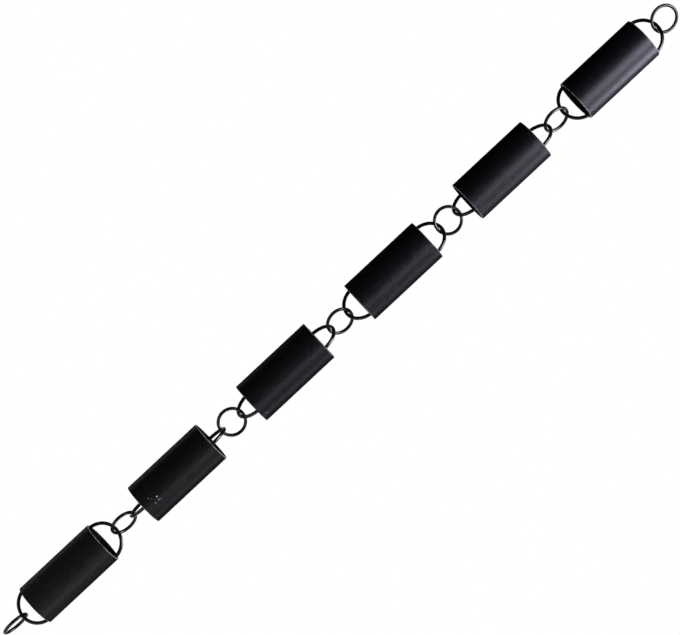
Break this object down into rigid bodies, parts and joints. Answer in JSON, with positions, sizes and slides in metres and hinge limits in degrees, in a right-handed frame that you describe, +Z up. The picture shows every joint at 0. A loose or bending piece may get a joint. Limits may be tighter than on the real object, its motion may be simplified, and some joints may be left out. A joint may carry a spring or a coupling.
{
  "type": "rain chain",
  "caption": "Hanging rain chain of open-ended black tubes, linked end to end by wire bails and round rings, to lead roof water down.",
  "frame": {"origin": "inside top of the hanging ring, where a hook carries the chain", "axes": "+Z up along the hanging chain, +X in the plane of the hanging ring, +Y through its eye"},
  "size_m": [0.05, 0.05, 1.0018],
  "materials": {
    "tube_coat": "satin black powder coat",
    "wire_finish": "gloss black enamel"
  },
  "bodies": {
    "hanging_ring": {"hanging_ring": "wire_finish"},
    "cup_1": {"cup_1_tube": "tube_coat", "cup_1_upper_bail": "wire_finish", "cup_1_lower_bail": "wire_finish"},
    "link_ring_1": {"link_ring_1": "wire_finish"},
    "cup_2": {"cup_2_tube": "tube_coat", "cup_2_upper_bail": "wire_finish", "cup_2_lower_bail": "wire_finish"},
    "link_ring_2": {"link_ring_2": "wire_finish"},
    "cup_3": {"cup_3_tube": "tube_coat", "cup_3_upper_bail": "wire_finish", "cup_3_lower_bail": "wire_finish"},
    "link_ring_3": {"link_ring_3": "wire_finish"},
    "cup_4": {"cup_4_tube": "tube_coat", "cup_4_upper_bail": "wire_finish", "cup_4_lower_bail": "wire_finish"},
    "link_ring_4": {"link_ring_4": "wire_finish"},
    "cup_5": {"cup_5_tube": "tube_coat", "cup_5_upper_bail": "wire_finish", "cup_5_lower_bail": "wire_finish"},
    "link_ring_5": {"link_ring_5": "wire_finish"},
    "cup_6": {"cup_6_tube": "tube_coat", "cup_6_upper_bail": "wire_finish", "cup_6_lower_bail": "wire_finish"},
    "bottom_ring": {"bottom_ring": "wire_finish"}
  },
  "joints": [
    {"name": "cup_1_swing", "type": "hinge", "parent": "hanging_ring", "child": "cup_1", "pos_m": [0, 0, -0.02845], "axis": [1, 0, 0], "range_deg": [-80, 80]},
    {"name": "link_ring_1_swing", "type": "hinge", "parent": "cup_1", "child": "link_ring_1", "pos_m": [0, 0, -0.1636], "axis": [0.6691, -0.7431, 0], "range_deg": [-80, 80]},
    {"name": "cup_2_swing", "type": "hinge", "parent": "link_ring_1", "child": "cup_2", "pos_m": [0, 0, -0.18975], "axis": [-0.9063, -0.4226, 0], "range_deg": [-80, 80]},
    {"name": "link_ring_2_swing", "type": "hinge", "parent": "cup_2", "child": "link_ring_2", "pos_m": [0, 0, -0.3249], "axis": [0, -1, 0], "range_deg": [-80, 80]},
    {"name": "cup_3_swing", "type": "hinge", "parent": "link_ring_2", "child": "cup_3", "pos_m": [0, 0, -0.35105], "axis": [-0.9613, 0.2756, 0], "range_deg": [-80, 80]},
    {"name": "link_ring_3_swing", "type": "hinge", "parent": "cup_3", "child": "link_ring_3", "pos_m": [0, 0, -0.4862], "axis": [0.3584, -0.9336, 0], "range_deg": [-80, 80]},
    {"name": "cup_4_swing", "type": "hinge", "parent": "link_ring_3", "child": "cup_4", "pos_m": [0, 0, -0.51235], "axis": [-0.9781, -0.2079, 0], "range_deg": [-80, 80]},
    {"name": "link_ring_4_swing", "type": "hinge", "parent": "cup_4", "child": "link_ring_4", "pos_m": [0, 0, -0.6475], "axis": [-0.0349, -0.9994, 0], "range_deg": [-80, 80]},
    {"name": "cup_5_swing", "type": "hinge", "parent": "link_ring_4", "child": "cup_5", "pos_m": [0, 0, -0.67365], "axis": [-0.9781, 0.2079, 0], "range_deg": [-80, 80]},
    {"name": "link_ring_5_swing", "type": "hinge", "parent": "cup_5", "child": "link_ring_5", "pos_m": [0, 0, -0.8088], "axis": [-0.3746, -0.9272, 0], "range_deg": [-80, 80]},
    {"name": "cup_6_swing", "type": "hinge", "parent": "link_ring_5", "child": "cup_6", "pos_m": [0, 0, -0.83495], "axis": [0.866, 0.5, 0], "range_deg": [-80, 80]},
    {"name": "bottom_ring_swing", "type": "hinge", "parent": "cup_6", "child": "bottom_ring", "pos_m": [0, 0, -0.9701], "axis": [0.7193, -0.6947, 0], "range_deg": [-80, 80]}
  ]
}
